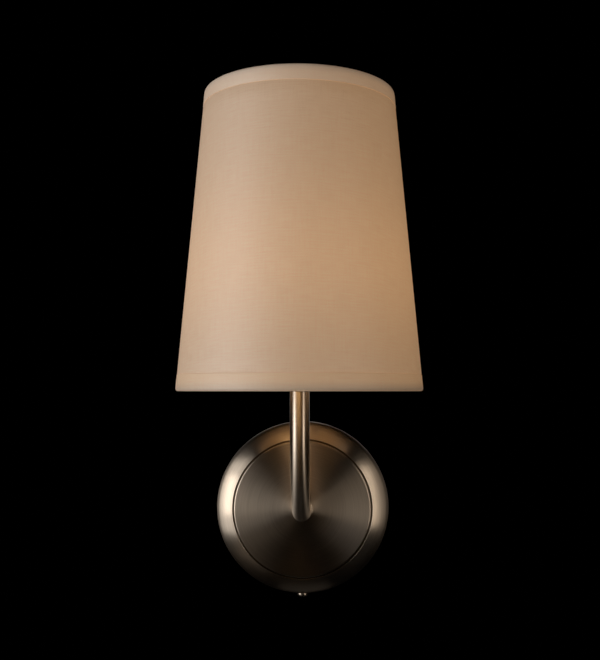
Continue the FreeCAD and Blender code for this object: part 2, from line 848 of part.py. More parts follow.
def make_holder_insert():
    """The inner body: a socket for the lamp cap above, wire holes and contact slots below."""
    bore = s.lamp_cap / 2 + s.socket_wall_gap
    insert = turned("holder_insert", [
        (ZERO, base_floor),
        (insert_radius, base_floor),
        (insert_radius, insert_rim),
        (bore, insert_rim),
        (bore, socket_floor),
        (ZERO, socket_floor),
    ], at=holder_axis)
    leads = new_sketch(insert, "XY_Plane", lift=base_floor)
    terminals = new_sketch(insert, "XZ_Plane")
    slots = new_sketch(insert, "XZ_Plane")
    half_sheet = s.contact_sheet / 2 + s.thread_gap
    for side in (-1, 1):
        offset = s.wire_offset * side
        circle(leads, offset, 0, s.lead_hole)
        circle(terminals, offset, terminal_level, s.clamp_screw + s.thread_gap * 2)
        draw(slots, box_corners(offset - half_sheet, contact_foot, offset + half_sheet,
                                socket_floor + s.contact_sheet))
    pocket(insert, leads, s.lead_hole_depth, reverse=True)
    pocket(insert, terminals, s.holder_diameter, reverse=True)
    pocket(insert, slots, s.contact_wide + s.thread_gap * 2, midplane=True)
    recess = new_sketch(insert, "XZ_Plane")
    draw(recess, box_corners(s.lamp_cap / 2 - s.contact_sheet, socket_floor,
                             side_contact_outer + s.contact_gap,
                             side_contact_top + s.contact_gap))
    pocket(insert, recess, s.contact_wide + s.thread_gap * 2, midplane=True)

    screws = new_body("holder_terminal_screws", at=holder_axis)
    tip = s.wire_diameter / 2 + s.thread_gap
    tips = new_sketch(screws, "XZ_Plane", lift=tip)
    for side in (-1, 1):
        circle(tips, s.wire_offset * side, terminal_level, s.clamp_screw)
    pad(screws, tips, insert_radius - s.clamp_screw_sink - tip)


def make_contacts():
    """Two bent brass strips: one under the lamp's button, one beside its cap."""
    half = s.contact_sheet / 2
    centre = new_body("centre_contact", at=holder_axis)
    profile = new_sketch(centre, "XZ_Plane")
    shelf = contact_top - s.contact_sheet
    draw(profile, [
        (-s.wire_offset - half, contact_foot),
        (-s.wire_offset + half, contact_foot),
        (-s.wire_offset + half, shelf),
        (half * 4, shelf),
        (half * 4, contact_top),
        (-s.wire_offset - half, contact_top),
    ])
    pad(centre, profile, s.contact_wide, midplane=True)
    side = new_body("side_contact", at=holder_axis)
    profile = new_sketch(side, "XZ_Plane")
    shelf = socket_floor + s.contact_sheet
    draw(profile, [
        (s.wire_offset - half, contact_foot),
        (s.wire_offset + half, contact_foot),
        (s.wire_offset + half, socket_floor),
        (side_contact_outer, socket_floor),
        (side_contact_outer, side_contact_top),
        (side_contact_inner, side_contact_top),
        (side_contact_inner, shelf),
        (s.wire_offset - half, shelf),
    ])
    pad(side, profile, s.contact_wide, midplane=True)


def make_holder_sleeve():
    """The threaded sleeve, with the shoulder that carries the shade."""
    outer = s.holder_diameter / 2
    turned("holder_sleeve", [
        (sleeve_bore, base_rim - s.spigot_length),
        (spigot_radius, base_rim - s.spigot_length),
        (spigot_radius, base_rim),
        (s.flange_diameter / 2, base_rim),
        (s.flange_diameter / 2, flange_top),
        (outer, flange_top),
        (outer, sleeve_rim),
        (s.neck_bore / 2, sleeve_rim),
        (s.neck_bore / 2, insert_rim),
        (sleeve_bore, insert_rim),
    ], at=holder_axis)


# ---- shade -------------------------------------------------------------------------------

def make_shade_cover():
    """The fabric on its stiff backing: a plain cone with its outer edges rounded."""
    low = shade_foot + cover_depth
    high = shade_rim - cover_depth
    outer_low = cone(low) - cover_depth
    outer_high = cone(high) - cover_depth
    cover = turned("shade_cover", [
        (outer_low - s.shade_wall, low),
        (outer_low, low),
        (outer_high, high),
        (outer_high - s.shade_wall, high),
    ], at=holder_axis)
    round_edges(cover, cover_round,
                lambda edge: is_ring(edge, outer_low, low) or is_ring(edge, outer_high, high))

    seam = new_body("shade_seam", at=holder_axis, turn=TO_THE_WALL)
    strip = new_sketch(seam, "XZ_Plane")
    low = shade_foot + s.bottom_trim_tall
    high = shade_rim - s.top_trim_tall
    draw(strip, [
        (cone(low) - s.trim_sheet, low),
        (cone(low), low),
        (cone(high), high),
        (cone(high) - s.trim_sheet, high),
    ])
    turn = revolve(seam, strip, "V_Axis", angle=s.seam_angle)
    turn.Midplane = True


def make_trim(label, edge_level, up, tall):
    """A folded band over one rim; up is 1 for the lower rim and -1 for the upper one."""
    def level(distance):
        return edge_level + as_size(distance) * up

    fold = s.trim_sheet
    ring_level = level(fold + s.ring_fit + wire_radius)
    turn_outer = wire_ring_radius(ring_level) - wire_radius - s.ring_fit
    turn_inner = turn_outer - fold
    turn_end = level(fold + s.trim_turn_in)
    band = turned(label, [
        (turn_inner, level(0)),
        (cone(level(0)), level(0)),
        (cone(level(tall)), level(tall)),
        (cone(level(tall)) - fold, level(tall)),
        (cone(level(fold)) - fold, level(fold)),
        (turn_outer, level(fold)),
        (turn_outer, turn_end),
        (turn_inner, turn_end),
    ], at=holder_axis)
    round_edges(band, s.trim_round,
                lambda edge: is_ring(edge, cone(level(0)), level(0))
                or is_ring(edge, turn_inner, level(0)))
    round_edges(band, cover_round,
                lambda edge: is_ring(edge, cone(level(fold)) - fold, level(fold)))


def make_wire_ring(label, level):
    body = new_body(label, at=holder_axis)
    section = new_sketch(body, "XZ_Plane")
    circle(section, wire_ring_radius(level), level, s.ring_wire)
    revolve(body, section, "V_Axis")


def make_fitter():
    """The ring that sits on the holder, and three spokes that reach down to the wire ring."""
    turned("fitter_ring", box_corners(turning_bore, fitter_foot, fitter_radius, fitter_top),
           at=holder_axis)
    body = new_body("fitter_spokes", at=holder_axis)
    path = new_sketch(body, "XZ_Plane")
    start = (fitter_radius - s.spoke_diameter / 2).number
    bend = (fitter_radius + s.spoke_run).number
    top = (fitter_foot + s.fitter_sheet / 2).number
    landing = low_ring_level + wire_radius
    end = Vector(wire_ring_radius(low_ring_level).number, landing.number, 0)
    fall = end - Vector(bend, top, 0)
    angle = math.atan2(-fall.y, fall.x)
    setback = s.spoke_bend.number * math.tan(angle / 2)
    bend_end = Vector(bend, top, 0) + fall.normalize() * setback
    level_run = Part.LineSegment(Vector(start, top, 0), Vector(bend - setback, top, 0))
    arc = arc_through(Vector(bend - setback, top, 0), bend_end, s.spoke_bend.number, False)
    slope = Part.LineSegment(bend_end, end)
    run, curve, drop = path.addGeometry([level_run, arc, slope])
    path.addConstraint(Sketcher.Constraint("Tangent", run, 2, curve, 2))
    path.addConstraint(Sketcher.Constraint("Tangent", curve, 1, drop, 1))
    path.addConstraint(Sketcher.Constraint("Horizontal", run))
    limit(path, "DistanceX", -1, 1, run, 1, value=fitter_radius - s.spoke_diameter / 2)
    limit(path, "DistanceY", -1, 1, run, 1, value=fitter_foot + s.fitter_sheet / 2)
    limit(path, "DistanceX", -1, 1, drop, 2, value=wire_ring_radius(low_ring_level))
    limit(path, "DistanceY", -1, 1, drop, 2, value=landing)
    limit(path, "Radius", curve, value=s.spoke_bend)
    limit(path, "DistanceX", run, 1, run, 2, value=s.spoke_run)
    section = new_sketch(body, "YZ_Plane", lift=fitter_radius - s.spoke_diameter / 2)
    circle(section, 0, fitter_foot + s.fitter_sheet / 2, s.spoke_diameter)
    spoke = pipe(body, path, section)
    pattern(body, spoke, SPOKES)
    # Both ends are cut to the rings that they are welded to.
    inner = new_sketch(body, "XZ_Plane")
    draw(inner, box_corners(ZERO, fitter_foot - s.spoke_diameter, fitter_radius,
                            fitter_top + s.spoke_diameter))
    revolve(body, inner, "V_Axis", kind="Groove")
    outer = new_sketch(body, "XZ_Plane")
    circle(outer, wire_ring_radius(low_ring_level), low_ring_level, s.ring_wire)
    revolve(body, outer, "V_Axis", kind="Groove")


def make_ring_nut():
    """The threaded ring above the fitter, with finger notches round it."""
    radius = s.ring_nut_diameter / 2
    top = ring_nut_foot + s.ring_nut_tall
    nut = turned("shade_ring_nut", [
        (turning_bore, ring_nut_foot),
        (radius, ring_nut_foot),
        (radius, top - s.ring_nut_edge, s.ring_nut_edge, "left"),
        (radius - s.ring_nut_edge, top),
        (turning_bore, top),
    ], at=holder_axis)
    notch = new_sketch(nut, "XY_Plane", lift=ring_nut_foot)
    circle(notch, radius + s.ring_nut_notch / 4, 0, s.ring_nut_notch)
    cut = pocket(nut, notch, s.ring_nut_tall, reverse=True)
    pattern(nut, cut, NOTCHES)


# ---- lamp --------------------------------------------------------------------------------

def make_lamp():
    """A small round screw lamp: button, insulator, cap, glass, and the mount inside it."""
    def level(rise):
        return lamp_foot + rise

    cap_radius = s.lamp_cap / 2
    cap_bore = cap_radius - s.lamp_cap_sheet
    skirt = s.lamp_skirt / 2
    skirt_bore = skirt - s.lamp_cap_sheet
    button = s.contact_button / 2
    cap_foot = level(s.contact_button_tall + s.insulator_tall)
    turned("bulb_contact", [
        (ZERO, lamp_foot),
        (button - s.contact_button_tall, lamp_foot, s.contact_button_tall, "left"),
        (button, level(s.contact_button_tall)),
        (ZERO, level(s.contact_button_tall)),
    ], at=holder_axis)
    turned("bulb_insulator", [
        (ZERO, level(s.contact_button_tall)),
        (button + s.lamp_cap_sheet, level(s.contact_button_tall)),
        (cap_bore - s.lamp_cap_sheet, cap_foot),
        (cap_bore, cap_foot),
        (cap_bore, cap_foot + s.insulator_tall / 2),
        (ZERO, cap_foot + s.insulator_tall / 2),
    ], at=holder_axis)
    turned("bulb_cap", [
        (cap_bore, cap_foot),
        (cap_radius, cap_foot),
        (cap_radius, level(s.lamp_cap_straight)),
        (skirt, level(s.lamp_skirt_level)),
        (skirt, level(s.lamp_cap_top)),
        (skirt_bore, level(s.lamp_cap_top)),
        (skirt_bore, level(s.lamp_skirt_level)),
        (cap_bore, level(s.lamp_cap_straight)),
    ], at=holder_axis)

    # The pear shape: a globe, and a neck arc that touches both globe and straight neck.
    globe = s.globe_diameter / 2
    neck = skirt_bore - s.thread_gap
    rise = s.lamp_length - globe - s.glass_neck_level
    neck_bend = (neck * neck + rise * rise - globe * globe) / ((globe - neck) * 2)
    share = globe / (globe + neck_bend)
    centre = level(s.lamp_length - globe)
    touch_radius = (neck + neck_bend) * share
    touch_level = centre - rise * share
    inner_globe = globe - s.glass_wall
    inner_share = inner_globe / (globe + neck_bend)
    inner_touch_radius = (neck + neck_bend) * inner_share
    inner_touch_level = centre - rise * inner_share
    glass_foot = level(s.lamp_skirt_level)
    turned("bulb_glass", [
        (neck, glass_foot),
        (neck, level(s.glass_neck_level), neck_bend, "right"),
        (touch_radius, touch_level, globe, "left"),
        (globe, centre, globe, "left"),
        (ZERO, centre + globe),
        (ZERO, centre + inner_globe, inner_globe, "right"),
        (inner_globe, centre, inner_globe, "right"),
        (inner_touch_radius, inner_touch_level, neck_bend + s.glass_wall, "left"),
        (neck - s.glass_wall, level(s.glass_neck_level)),
        (neck - s.glass_wall, glass_foot),
    ], at=holder_axis)

    flare = neck - s.glass_wall - s.thread_gap
    stem = s.stem_diameter / 2
    turned("bulb_stem", [
        (ZERO, glass_foot),
        (flare, glass_foot),
        (flare, glass_foot + s.flare_thick),
        (stem, glass_foot + s.flare_thick),
        (stem, level(s.stem_top)),
        (ZERO, level(s.stem_top)),
    ], at=holder_axis)
    filament = new_body("bulb_filament", at=holder_axis)
    frame = new_sketch(filament, "XZ_Plane")
    foot = s.filament_foot / 2
    span = s.filament_span / 2
    inner_top = level(s.filament_level) - s.filament_wire
    draw(frame, [
        (foot, level(s.stem_top)),
        (span, inner_top),
        (-span, inner_top),
        (-foot, level(s.stem_top)),
        (-foot - s.filament_wire, level(s.stem_top)),
        (-span - s.filament_wire, level(s.filament_level)),
        (span + s.filament_wire, level(s.filament_level)),
        (foot + s.filament_wire, level(s.stem_top)),
    ])
    pad(filament, frame, s.filament_wire, midplane=True)


# ---- the whole light ---------------------------------------------------------------------

make_backplate()
make_canopy_screws()
make_mounting_strap()
make_earth_terminal()
make_terminal_block()
make_arm()
make_lead("live_lead", 1)
make_lead("neutral_lead", -1)
make_holder_foot()
make_holder_insert()
make_contacts()
make_holder_sleeve()
make_shade_cover()
make_wire_ring("bottom_wire_ring", low_ring_level)
make_wire_ring("top_wire_ring", high_ring_level)
make_trim("bottom_trim", shade_foot, 1, s.bottom_trim_tall)
make_trim("top_trim", shade_rim, -1, s.top_trim_tall)
make_fitter()
make_ring_nut()
make_lamp()
doc.recompute()

for item in doc.Objects:
    trouble = [word for word in item.State if word in ("Invalid", "Error")]
    if trouble:
        raise RuntimeError(f"{item.Label} failed: {item.getStatusString()}")
for body in parts:
    if body.Shape.isNull() or not body.Shape.isValid() or not body.Shape.Solids:
        raise RuntimeError(f"{body.Label} has no valid solid")

os.makedirs("parts", exist_ok=True)
for body in parts:
    body.Shape.exportStep(f"parts/{body.Label}.step")
    print(f"{body.Label}: {len(body.Shape.Solids)} solid(s), {body.Shape.Volume:.1f} mm3")
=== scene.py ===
import json
import math

import bmesh
import bpy
from mathutils import Matrix, Vector


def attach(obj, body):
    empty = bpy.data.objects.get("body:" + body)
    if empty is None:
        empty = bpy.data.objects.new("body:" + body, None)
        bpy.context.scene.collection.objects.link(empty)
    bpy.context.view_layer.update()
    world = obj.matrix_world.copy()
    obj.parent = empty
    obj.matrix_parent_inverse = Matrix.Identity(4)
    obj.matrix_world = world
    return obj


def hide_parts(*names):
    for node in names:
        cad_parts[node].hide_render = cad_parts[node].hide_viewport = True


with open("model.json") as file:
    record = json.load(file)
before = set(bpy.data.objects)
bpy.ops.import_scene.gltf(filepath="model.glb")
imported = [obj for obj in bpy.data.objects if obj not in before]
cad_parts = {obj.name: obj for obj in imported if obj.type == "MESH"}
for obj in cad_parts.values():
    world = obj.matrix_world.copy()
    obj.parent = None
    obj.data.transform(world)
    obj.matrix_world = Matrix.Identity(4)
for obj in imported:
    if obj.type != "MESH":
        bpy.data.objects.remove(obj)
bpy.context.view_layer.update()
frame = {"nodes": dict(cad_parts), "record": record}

# A wall light with a fabric shade.  Made here: the shade's cloth, its backing sheet, the bands
# round its rims and the strip over its joint, the spun backplate, the bent arm and its collar,
# the canopy screws, the lamp's cap, the holder's threaded sleeve, and a finish for every piece.
# Sizes are in millimetres.  An outline gives radius first and level second, and keep() puts it
# in its place in metres.

MM = 0.001
NOTHING = 1e-4             # a length below this counts as none
CLOSED = 1e-3              # an outline whose ends are nearer than this is closed
REACH = 92.0               # from the wall to the upright line that shade, nut and lamp turn on

# From radius and level to a place in the light.
UPRIGHT = Matrix.Translation((0, -REACH * MM, 0)) @ Matrix.Scale(MM, 4)     # level is height
FROM_WALL = Matrix.Rotation(math.radians(90), 4, "X") @ Matrix.Scale(MM, 4)   # level is depth

# The shade's outside is a plain cone, with a folded band over each rim.
SHADE_FOOT, SHADE_RIM = 81.3, 261.3
FOOT_RADIUS, RIM_RADIUS = 75.0, 57.5
TAPER = (FOOT_RADIUS - RIM_RADIUS) / (SHADE_RIM - SHADE_FOOT)
SLANT = math.hypot(1, TAPER)
LEAN = math.degrees(math.atan(TAPER))
BOTTOM_BAND, TOP_BAND = 10.0, 9.0      # how tall the bands are
FREE_FOOT, FREE_RIM = SHADE_FOOT + BOTTOM_BAND, SHADE_RIM - TOP_BAND
BAND_SHEET = 0.35          # thickness of the bands' cloth
COVER_DEPTH = 0.41         # from the outside of the bands to the outside of the cover
COVER_SHEET = 0.4          # thickness of the cover's cloth
BACKING_SHEET = 0.5        # thickness of the sheet it is glued to


def cone(level):
    """The shade's outside radius at this level."""
    return FOOT_RADIUS - (level - SHADE_FOOT) * TAPER


# ---- ways of making a piece ------------------------------------------------------------------

def new_outline(*runs):
    """A bmesh that holds one outline.  A run is (radius, level) for a straight line to that
    point, or (radius, level, degrees, steps) for an arc about that centre."""
    bm = bmesh.new()
    along = bm.verts.layers.float.new("along")
    first = bmesh.ops.create_vert(bm, co=(runs[0][0], 0, runs[0][1]))["vert"][0]
    end = first
    for run in runs[1:]:
        if len(run) == 2:
            made = bmesh.ops.extrude_vert_indiv(bm, verts=[end])["verts"]
            made[0].co = (run[0], 0, run[1])
        else:
            made = bmesh.ops.spin(bm, geom=[end], cent=(run[0], 0, run[1]), axis=(0, -1, 0),
                                  angle=math.radians(run[2]), steps=run[3])["geom_last"]
        end = [item for item in made if isinstance(item, bmesh.types.BMVert)][0]
    bm.verts.ensure_lookup_table()
    length = 0.0
    for before, vert in zip([first] + bm.verts[:], bm.verts):
        length += (vert.co - before.co).length
        vert[along] = length
    return bm, first, end


def turn_round(bm, steps):
    """Turn an outline about the upright axis into a closed skin."""
    bmesh.ops.spin(bm, geom=bm.verts[:] + bm.edges[:], cent=(0, 0, 0), axis=(0, 0, 1),
                   angle=math.tau, steps=steps, use_merge=True)
    bmesh.ops.remove_doubles(bm, verts=bm.verts, dist=NOTHING)
    bmesh.ops.recalc_face_normals(bm, faces=bm.faces)


def bearing(spot, near=None):
    """Angle of a point round the axis, from the front; on the face's own side of the back."""
    angle = math.atan2(spot.x, -spot.y)
    if near is None:
        return angle
    if math.hypot(spot.x, spot.y) < NOTHING:
        return near
    return angle + math.tau * round((near - angle) / math.tau)


def lay_thread(bm):
    """Texture coordinates in metres: round the axis first, then along the outline."""
    along = bm.verts.layers.float["along"]
    uv = bm.loops.layers.uv.new("cloth")
    for face in bm.faces:
        middle = face.calc_center_median()
        turn = bearing(middle)
        radius = math.hypot(middle.x, middle.y)
        for loop in face.loops:
            angle = bearing(loop.vert.co, turn)
            loop[uv].uv = (angle * radius * MM, loop.vert[along] * MM)


def lay_flat(bm):
    """Texture coordinates of the cover, as its cloth lay before it was rolled into a cone."""
    uv = bm.loops.layers.uv.new("cloth")
    narrow = TAPER / SLANT
    for face in bm.faces:
        turn = bearing(face.calc_center_median())
        for loop in face.loops:
            spot = loop.vert.co
            angle = bearing(spot, turn) * narrow
            out = math.hypot(spot.x, spot.y) / narrow
            loop[uv].uv = (out * math.sin(angle) * MM, -out * math.cos(angle) * MM)


def keep(bm, name, finish, body, place, stands_for=(), crease=35):
    """Make the bmesh a piece of the light; edges bent more than crease degrees stay sharp."""
    bm.transform(place)
    mesh = bpy.data.meshes.new(name)
    bm.to_mesh(mesh)
    bm.free()
    mesh.polygons.foreach_set("use_smooth", [True] * len(mesh.polygons))
    mesh.set_sharp_from_angle(angle=math.radians(crease))
    mesh.materials.append(finish)
    piece = bpy.data.objects.new(name, mesh)
    bpy.context.scene.collection.objects.link(piece)
    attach(piece, body)
    if stands_for:
        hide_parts(*stands_for)
    return piece


def turned(name, finish, body, place, runs, steps=128, stands_for=(), lay=lay_thread,
           shape=None, crease=35):
    """A turned piece from its outline, which closes on itself or on the axis.  Shape cuts or
    bends the skin before its texture is laid."""
    bm, first, end = new_outline(*runs)
    if math.hypot(first.co.x - end.co.x, first.co.z - end.co.z) < CLOSED:
        bmesh.ops.remove_doubles(bm, verts=bm.verts, dist=CLOSED)
    elif first.co.x > NOTHING or end.co.x > NOTHING:
        bm.edges.new((first, end))
    turn_round(bm, steps)
    if shape:
        shape(bm)
    lay(bm)
    return keep(bm, name, finish, body, place, stands_for, crease)


# ---- finishes --------------------------------------------------------------------------------

MIX_LOW, MIX_HIGH, MIX_RESULT = 6, 7, 2      # a Mix node's sockets for colours

# The cotton goes one thread over and one under, each about 0.2 mm wide.  Its thick and thin
# places are drawn three times as wide as real ones, because a pixel is 0.6 mm on the shade.
WEAVE_REPEAT = 0.4
WARP_SLUB = (0.909, 14.3)  # size of such a place round the shade and up it, in a warp thread
WEFT_SLUB = (11.1, 0.769)  # and in a weft thread
THREAD_SHARE, WARP_SHARE = 0.3, 0.6    # how much single threads and warp show beside the weft
WEAVE_LOW, WEAVE_HIGH = 0.4, 1.2       # what weave() gives at a hollow and on a thick thread
CLOTH_RELIEF = 0.12        # height of the threads
# The next share is of the painted glow, the emission that stands for light through the threads.
THREAD_GLOW = 0.14         # share by which the light through them varies

# Painted glow: the cloth's emission stands in for the lamp's light that shows through it.
# The lamp's light in the cloth: a direct part that falls with the distance from a point low in
# the lamp, where the photograph is brightest, and a part scattered evenly inside the shade.
GLOW_MIDDLE = (0, -REACH * MM, 147 * MM)
GLOW_NEAR = 66.0           # the direct part is full at this distance, just inside the cloth
GLOW_FALL = 3.0
DIRECT_GLOW, SCATTERED_GLOW = 0.164, 0.178

# Brush lines are drawn some ten times coarser than real ones, because a pixel is 0.7 mm on the
# plate.
PLATE_BRUSHING = (45.5, 0.667)         # length round the plate and width of a brush line
TUBE_BRUSHING = (25.0, 0.3333)
BRUSH_RELIEF = 0.02
BRUSH_DULLS = 0.15         # share by which a metal's roughness varies from line to line
# The plate's dark ring at the groove is painted shade.
GROOVE_MIDDLE, GROOVE_HALF = 47.8, 0.58   # radius and half width of the plate's dark ring

GRAIN_FINENESS = 12        # grains to a patch of tone on cast, plated and moulded surfaces
GRAIN_RELIEF = 0.05


def colour(code):
    """An sRGB hex value as linear red, green, blue and alpha."""
    parts = [int(code[i:i + 2], 16) / 255 for i in (1, 3, 5)]
    return [p / 12.92 if p <= 0.04045 else ((p + 0.055) / 1.055) ** 2.4 for p in parts] + [1.0]


def node(tree, kind, inputs=(), **settings):
    """One node with its settings, its input values and its links."""
    made = tree.nodes.new("ShaderNode" + kind)
    for name, value in settings.items():
        setattr(made, name, value)
    for name, value in dict(inputs).items():
        if isinstance(value, bpy.types.NodeSocket):
            tree.links.new(value, made.inputs[name])
        else:
            made.inputs[name].default_value = value
    return made


def new_finish(name, **inputs):
    """A material with one main shader; returns it, its node tree and its shader."""
    made = bpy.data.materials.new(name)
    made.use_nodes = True
    tree = made.node_tree
    tree.nodes.clear()
    shader = node(tree, "BsdfPrincipled", {k.replace("_", " "): v for k, v in inputs.items()})
    node(tree, "OutputMaterial", {"Surface": shader.outputs[0]})
    return made, tree, shader


def streaks(tree, source, cell):
    """Noise drawn out into streaks; cell is a streak's size along the texture's two axes."""
    scale = [1 / (size * MM) for size in cell] + [1]
    spread = node(tree, "Mapping", {"Vector": source, "Scale": scale})
    return node(tree, "TexNoise", {"Vector": spread.outputs[0], "Scale": 1.0,
                                   "Detail": 3.0}).outputs["Fac"]


def weave(tree):
    """Height of plain-woven threads with their thick and thin places."""
    uv = node(tree, "UVMap", uv_map="cloth").outputs[0]
    axes = node(tree, "SeparateXYZ", {"Vector": uv}).outputs
    waves = math.tau / (WEAVE_REPEAT * MM)
    warp = node(tree, "Math", {0: axes["X"], 1: waves}, operation="MULTIPLY").outputs[0]
    weft = node(tree, "Math", {0: axes["Y"], 1: waves}, operation="MULTIPLY").outputs[0]
    ups = node(tree, "Math", {0: warp}, operation="SINE").outputs[0]
    overs = node(tree, "Math", {0: weft}, operation="SINE").outputs[0]
    cross = node(tree, "Math", {0: ups, 1: overs}, operation="MULTIPLY").outputs[0]
    slubs = node(tree, "Math", {0: streaks(tree, uv, WARP_SLUB), 1: WARP_SHARE,
                                2: streaks(tree, uv, WEFT_SLUB)},
                 operation="MULTIPLY_ADD").outputs[0]
    return node(tree, "Math", {0: cross, 1: THREAD_SHARE, 2: slubs},
                operation="MULTIPLY_ADD").outputs[0]


def painted_lamp_glow(tree, dims):
    """Painted glow: the emission strength that stands for the lamp's light reaching the cloth.
    Each of dims paints shade or a thinner glow: a level where less comes through, a level where
    all of it does, and the share at the first one."""
    spot = node(tree, "TexCoord").outputs["Object"]
    away = node(tree, "VectorMath", {0: spot, 1: GLOW_MIDDLE}, operation="DISTANCE")
    near = node(tree, "Math", {0: GLOW_NEAR * MM, 1: away.outputs["Value"]},
                operation="DIVIDE").outputs[0]
    direct = node(tree, "Math", {0: near, 1: GLOW_FALL}, operation="POWER").outputs[0]
    light = node(tree, "Math", {0: direct, 1: DIRECT_GLOW, 2: SCATTERED_GLOW},
                 operation="MULTIPLY_ADD").outputs[0]
    level = node(tree, "SeparateXYZ", {"Vector": spot}).outputs["Z"]
    for dark, open_part, share in dims:
        part = node(tree, "MapRange", {"Value": level, "From Min": dark * MM,
                                       "From Max": open_part * MM, "To Min": share},
                    interpolation_type="SMOOTHSTEP").outputs[0]
        light = node(tree, "Math", {0: light, 1: part}, operation="MULTIPLY").outputs[0]
    return light


def woven_cotton(name, tint, through, dims):
    """Cotton, woven fine and plain: hair-thin threads, a dry sheen where light grazes it, and the
    lamp's warm light coming through, painted in as an emitted glow.  Its IOR is matched to the
    sheen, over cotton's 1.55."""
    made, tree, shader = new_finish(
        name, Roughness=0.46, IOR=1.7, Specular_IOR_Level=0.8, Sheen_Weight=0.15,
        Sheen_Roughness=0.3, Sheen_Tint=colour("#FFFAF2"), Emission_Color=colour("#FFBB77"))
    relief = weave(tree)
    spread = node(tree, "MapRange", {"Value": relief, "From Min": WEAVE_LOW,
                                     "From Max": WEAVE_HIGH}).outputs[0]
    yarn = node(tree, "Mix", {"Factor": spread, MIX_LOW: colour(tint[0]),
                              MIX_HIGH: colour(tint[1])}, data_type="RGBA")
    tree.links.new(yarn.outputs[MIX_RESULT], shader.inputs["Base Color"])
    bump = node(tree, "Bump", {"Height": relief, "Strength": 0.5,
                               "Distance": CLOTH_RELIEF * MM})
    tree.links.new(bump.outputs[0], shader.inputs["Normal"])
    share = node(tree, "MapRange", {"Value": spread, "To Min": through * (1 - THREAD_GLOW),
                                    "To Max": through * (1 + THREAD_GLOW)}).outputs[0]
    glow = node(tree, "Math", {0: painted_lamp_glow(tree, dims), 1: share}, operation="MULTIPLY")
    tree.links.new(glow.outputs[0], shader.inputs["Emission Strength"])
    return made


def brushed(name, tint, roughness, anisotropy, bump, line, groove_shade=None):
    """Metal brushed along the texture's first axis: fine lines, and highlights that spread across
    them, a quarter turn from the lines.  A groove colour paints shade into the plate's groove."""
    made, tree, shader = new_finish(name, Metallic=1.0, Anisotropic=anisotropy,
                                    Anisotropic_Rotation=0.25)
    uv = node(tree, "UVMap", uv_map="cloth").outputs[0]
    lines = streaks(tree, uv, line)
    metal = node(tree, "Mix", {"Factor": lines, MIX_LOW: colour(tint[0]),
                               MIX_HIGH: colour(tint[1])}, data_type="RGBA")
    # Painted shade: the groove's ring takes this darker colour.
    if groove_shade:
        spot = node(tree, "TexCoord").outputs["Object"]
        flat = node(tree, "VectorMath", {0: spot, 1: (1, 0, 1)}, operation="MULTIPLY")
        radius = node(tree, "VectorMath", {0: flat.outputs[0]}, operation="LENGTH")
        ring = node(tree, "Math", {0: radius.outputs["Value"], 1: GROOVE_MIDDLE * MM,
                                   2: GROOVE_HALF * MM}, operation="COMPARE").outputs[0]
        metal = node(tree, "Mix", {"Factor": ring, MIX_LOW: metal.outputs[MIX_RESULT],
                                   MIX_HIGH: colour(groove_shade)}, data_type="RGBA")
    tree.links.new(metal.outputs[MIX_RESULT], shader.inputs["Base Color"])
    dull = node(tree, "MapRange", {"Value": lines, "To Min": roughness * (1 - BRUSH_DULLS),
                                   "To Max": roughness * (1 + BRUSH_DULLS)})
    tree.links.new(dull.outputs[0], shader.inputs["Roughness"])
    tangent = node(tree, "Tangent", direction_type="UV_MAP", uv_map="cloth")
    tree.links.new(tangent.outputs[0], shader.inputs["Tangent"])
    grooves = node(tree, "Bump", {"Height": lines, "Strength": bump,
                                  "Distance": BRUSH_RELIEF * MM})
    tree.links.new(grooves.outputs[0], shader.inputs["Normal"])
    return made


def mottled(name, tint, patch, roughness, bump, **inputs):
    """A cast, plated or moulded surface: patches of tone of this size, and a fine grain."""
    made, tree, shader = new_finish(name, **inputs)
    spot = node(tree, "TexCoord").outputs["Object"]
    slow = node(tree, "TexNoise", {"Vector": spot, "Scale": 1 / (patch * MM),
                                   "Detail": 3.0}).outputs["Fac"]
    fine = node(tree, "TexNoise", {"Vector": spot, "Scale": GRAIN_FINENESS / (patch * MM),
                                   "Detail": 2.0}).outputs["Fac"]
    tone = node(tree, "Mix", {"Factor": slow, MIX_LOW: colour(tint[0]),
                              MIX_HIGH: colour(tint[1])}, data_type="RGBA")
    tree.links.new(tone.outputs[MIX_RESULT], shader.inputs["Base Color"])
    dull = node(tree, "MapRange", {"Value": fine, "To Min": roughness[0],
                                   "To Max": roughness[1]})
    tree.links.new(dull.outputs[0], shader.inputs["Roughness"])
    grain = node(tree, "Bump", {"Height": fine, "Strength": bump,
                                "Distance": GRAIN_RELIEF * MM})
    tree.links.new(grain.outputs[0], shader.inputs["Normal"])
    return made


# The cover's cotton on its backing: an even warm cream with a painted glow round the lamp, a
# little less towards the foot, and a painted shade line beside each band.
cover_cotton = woven_cotton(
    "cotton_woven_cover", ("#DCD0C0", "#E9DFD2"), through=1.0,
    dims=[(SHADE_FOOT + 5, SHADE_FOOT + 75, 0.9), (FREE_FOOT, FREE_FOOT + 0.8, 0.85),
          (FREE_RIM, FREE_RIM - 0.8, 0.8)])
# The same cotton folded over the lower ring: greyer, with less painted glow over the fold and a
# painted shade line at its turned edge.
bottom_cotton = woven_cotton(
    "cotton_woven_lower_band", ("#F0DCC4", "#F8E7D2"), through=0.82,
    dims=[(SHADE_FOOT - 1, SHADE_FOOT + 6.5, 0.1), (FREE_FOOT, FREE_FOOT - 0.4, 0.8)])
# And over the upper ring: the palest cloth, lit mostly from outside, its painted glow fading
# towards the rim and a painted shade line at its turned edge.
top_cotton = woven_cotton(
    "cotton_woven_upper_band", ("#F6E8D8", "#FDF1E3"), through=0.82,
    dims=[(SHADE_RIM + 1.5, SHADE_RIM - 5, 0.1), (FREE_RIM, FREE_RIM + 0.4, 0.8)])

